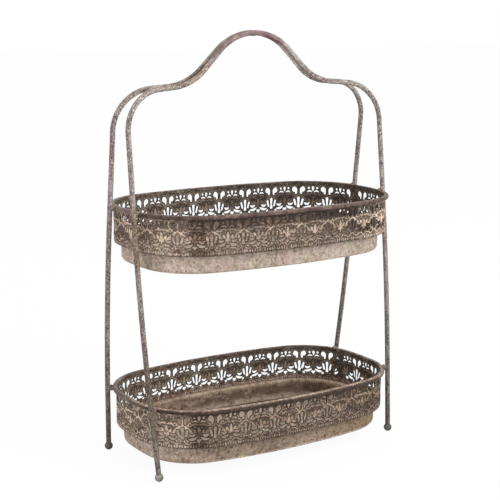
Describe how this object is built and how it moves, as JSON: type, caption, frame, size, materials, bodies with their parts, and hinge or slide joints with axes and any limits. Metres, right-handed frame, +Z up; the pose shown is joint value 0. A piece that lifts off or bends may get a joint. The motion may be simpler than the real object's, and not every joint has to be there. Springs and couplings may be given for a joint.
{
  "type": "two-tier etagere",
  "caption": "Free-standing metal etagere: oval trays with pierced galleries, stacked between bent round-bar frames that meet in a bell-shaped carrying handle.",
  "frame": {"origin": "on the floor under the middle of the etagere", "axes": "+X along the trays to the right, +Y from front to rear, +Z up"},
  "size_m": [0.464, 0.2694, 0.6519],
  "materials": {
    "frame_bar": "mottled antique brown and grey, satin",
    "ball_foot": "mottled antique brown and grey, satin",
    "pan_sheet": "dusty beige over brown, matt",
    "gallery_sheet": "dark brown with rubbed beige highlights, matt",
    "rim_roll": "rubbed brown and taupe, satin",
    "weld": "rough brown and grey, matt"
  },
  "bodies": {
    "root": {"front_frame_rod": "frame_bar", "rear_frame_rod": "frame_bar", "handle_weld": "weld", "foot_ball_front_left": "ball_foot", "foot_ball_front_right": "ball_foot", "foot_ball_rear_left": "ball_foot", "foot_ball_rear_right": "ball_foot", "upper_pan": "pan_sheet", "upper_gallery_front": "gallery_sheet", "upper_gallery_rear": "gallery_sheet", "upper_rim": "rim_roll", "upper_weld_front_left": "weld", "upper_weld_front_right": "weld", "upper_weld_rear_left": "weld", "upper_weld_rear_right": "weld", "lower_pan": "pan_sheet", "lower_gallery_front": "gallery_sheet", "lower_gallery_rear": "gallery_sheet", "lower_rim": "rim_roll", "lower_weld_front_left": "weld", "lower_weld_front_right": "weld", "lower_weld_rear_left": "weld", "lower_weld_rear_right": "weld"}
  },
  "joints": []
}
